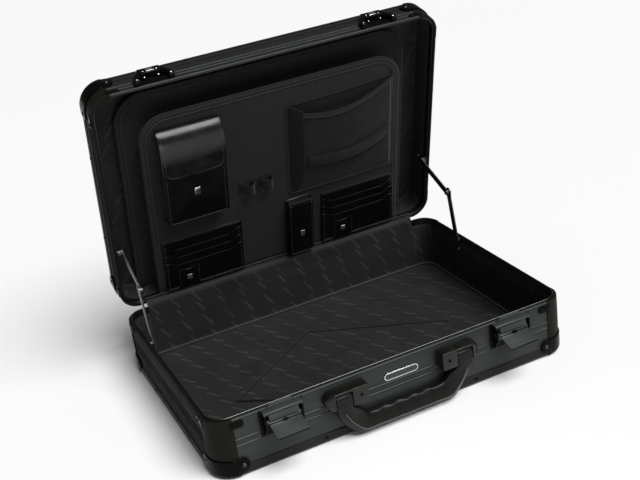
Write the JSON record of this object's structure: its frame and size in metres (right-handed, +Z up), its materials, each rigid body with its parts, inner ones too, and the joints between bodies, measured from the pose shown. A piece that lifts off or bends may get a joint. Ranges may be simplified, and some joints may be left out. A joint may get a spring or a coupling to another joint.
{
  "type": "attache case",
  "caption": "Slim aluminium attache case, open, with ribbed walls, black corner caps, carrying handle, lever latches, folding lid stays and a lid organiser.",
  "frame": {"origin": "centre of the base panel's underside", "axes": "+X along the front to the right as seen from the front, +Y from the front to the hinge at the back, +Z up"},
  "size_m": [0.4648, 0.3904, 0.3957],
  "materials": {
    "wall_aluminium": "dark anodised, satin",
    "panel_sheet": "dark anodised sheet",
    "edge_trim": "olive black, satin",
    "corner_post": "olive black, matte",
    "corner_cap": "black, gloss",
    "rim_lip": "bright",
    "lining_fabric": "dark grey lining with a pale dash print",
    "board_fabric": "dark grey fabric",
    "pocket_fabric": "dark grey mesh fabric",
    "elastic": "black elastic",
    "black_leather": "black, smooth",
    "handle_moulding": "olive black, satin",
    "bracket_casting": "olive black, gloss",
    "tongue_steel": "dark brushed",
    "latch_casting": "black nickel",
    "stay_steel": "brushed",
    "hinge_leaf": "black",
    "hinge_pin": "plain",
    "badge_metal": "brushed, blank"
  },
  "bodies": {
    "base": {"base_cap_front_left": "corner_cap", "base_cap_front_right": "corner_cap", "base_cap_rear_left": "corner_cap", "base_cap_rear_right": "corner_cap", "base_edge_trim": "edge_trim", "base_lining": "lining_fabric", "base_panel": "panel_sheet", "base_post_front_left": "corner_post", "base_post_front_right": "corner_post", "base_post_rear_left": "corner_post", "base_post_rear_right": "corner_post", "base_rim_lip": "rim_lip", "base_wall_front": "wall_aluminium", "base_wall_left": "wall_aluminium", "base_wall_rear": "wall_aluminium", "base_wall_right": "wall_aluminium", "hinge_base_leaf": "hinge_leaf", "hinge_pin": "hinge_pin", "handle_bracket_left": "bracket_casting", "handle_bracket_right": "bracket_casting", "badge_plate": "badge_metal", "latch_housing_left": "latch_casting", "latch_housing_right": "latch_casting"},
    "lid": {"card_pocket_left": "black_leather", "card_pocket_right": "black_leather", "latch_keeper_left": "latch_casting", "latch_keeper_right": "latch_casting", "lid_corner_front_left": "corner_cap", "lid_corner_front_right": "corner_cap", "lid_corner_rear_left": "corner_cap", "lid_corner_rear_right": "corner_cap", "lid_edge_trim": "edge_trim", "lid_lining": "lining_fabric", "lid_panel": "panel_sheet", "lid_rim_lip": "rim_lip", "lid_wall_front": "wall_aluminium", "lid_wall_left": "wall_aluminium", "lid_wall_rear": "wall_aluminium", "lid_wall_right": "wall_aluminium", "organiser_back_board": "board_fabric", "organiser_front_board": "board_fabric", "organiser_gusset_left": "board_fabric", "organiser_gusset_right": "board_fabric", "hinge_lid_leaf": "hinge_leaf", "phone_pouch": "black_leather", "stick_pouch": "black_leather", "cable_pocket": "pocket_fabric", "cable_strap": "elastic", "pen_loops": "elastic"},
    "handle": {"handle": "handle_moulding"},
    "phone_flap": {"phone_pouch_flap": "black_leather"},
    "stay_lower_left": {"stay_lower_link_left": "stay_steel"},
    "stay_upper_left": {"stay_upper_link_left": "stay_steel"},
    "latch_lever_left": {"latch_lever_left": "latch_casting"},
    "latch_tongue_left": {"latch_tongue_left": "tongue_steel"},
    "stay_lower_right": {"stay_lower_link_right": "stay_steel"},
    "stay_upper_right": {"stay_upper_link_right": "stay_steel"},
    "latch_lever_right": {"latch_lever_right": "latch_casting"},
    "latch_tongue_right": {"latch_tongue_right": "tongue_steel"}
  },
  "joints": [
    {"name": "lid_hinge", "type": "hinge", "parent": "base", "child": "lid", "pos_m": [0, 0.16, 0.074], "axis": [1, 0, 0], "range_deg": [0, 76]},
    {"name": "handle_pivot", "type": "hinge", "parent": "base", "child": "handle", "pos_m": [0, -0.167, 0.057], "axis": [-1, 0, 0], "range_deg": [0, 95]},
    {"name": "phone_flap_fold", "type": "hinge", "parent": "lid", "child": "phone_flap", "pos_m": [-0.1185, 0.09795, 0.32288], "axis": [-1, 0, 0], "range_deg": [0, 88]},
    {"name": "stay_foot_left", "type": "hinge", "parent": "base", "child": "stay_lower_left", "pos_m": [-0.221, 0.067, 0.069], "axis": [1, 0, 0], "range_deg": [-1, 96.88]},
    {"name": "stay_elbow_left", "type": "hinge", "parent": "stay_lower_left", "child": "stay_upper_left", "pos_m": [-0.2188, 0.07905, 0.13724], "axis": [1, 0, 0], "range_deg": [-116.75, 1]},
    {"name": "latch_lever_left", "type": "hinge", "parent": "base", "child": "latch_lever_left", "pos_m": [-0.148, -0.165, 0.0605], "axis": [1, 0, 0], "range_deg": [0, 70]},
    {"name": "latch_tongue_left", "type": "slide", "parent": "base", "child": "latch_tongue_left", "axis": [0, 0, 1], "range_m": [-0.0002, 0.0092]},
    {"name": "stay_foot_right", "type": "hinge", "parent": "base", "child": "stay_lower_right", "pos_m": [0.221, 0.067, 0.069], "axis": [1, 0, 0], "range_deg": [-1, 96.88]},
    {"name": "stay_elbow_right", "type": "hinge", "parent": "stay_lower_right", "child": "stay_upper_right", "pos_m": [0.2188, 0.07905, 0.13724], "axis": [1, 0, 0], "range_deg": [-116.75, 1]},
    {"name": "latch_lever_right", "type": "hinge", "parent": "base", "child": "latch_lever_right", "pos_m": [0.148, -0.165, 0.0605], "axis": [1, 0, 0], "range_deg": [0, 70]},
    {"name": "latch_tongue_right", "type": "slide", "parent": "base", "child": "latch_tongue_right", "axis": [0, 0, 1], "range_m": [-0.0002, 0.0092]}
  ],
  "couplings": [
    {"joint": "stay_foot_left", "follows": "lid_hinge", "ratio": 1.2615},
    {"joint": "stay_elbow_left", "follows": "lid_hinge", "ratio": -1.5231},
    {"joint": "latch_tongue_left", "follows": "latch_lever_left", "m_per_rad": 0.007367},
    {"joint": "stay_foot_right", "follows": "lid_hinge", "ratio": 1.2615},
    {"joint": "stay_elbow_right", "follows": "lid_hinge", "ratio": -1.5231},
    {"joint": "latch_tongue_right", "follows": "latch_lever_right", "m_per_rad": 0.007367}
  ]
}
